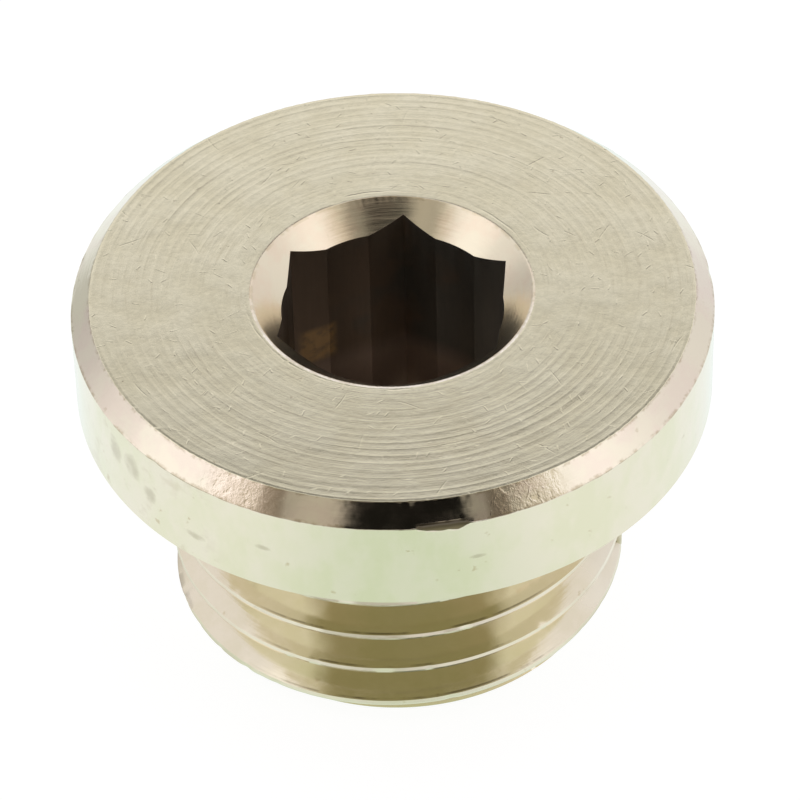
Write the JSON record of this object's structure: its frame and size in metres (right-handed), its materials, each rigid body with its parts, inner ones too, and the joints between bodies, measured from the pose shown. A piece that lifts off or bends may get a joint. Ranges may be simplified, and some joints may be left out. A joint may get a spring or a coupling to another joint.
{
  "type": "hex socket plug",
  "caption": "Flanged screw plug with a parallel pipe thread and an internal hexagon drive, closing a threaded port with a washer under its flange.",
  "frame": {"origin": "on the plug's axis, in the plane of the flange's seat face, where the washer or the port's face meets it", "axes": "+Z along the plug's axis from the thread towards the flange's top face and the socket's mouth; the thread hangs towards -Z; +Y passes through a corner of the hex socket; +X is square to a flat of it"},
  "size_m": [0.018, 0.018, 0.011],
  "materials": {
    "nickel_plated_brass": "turned brass with a thin bright nickel plating, fine concentric tool marks and small handling scratches"
  },
  "bodies": {
    "root": {"plug": "nickel_plated_brass"}
  },
  "joints": []
}
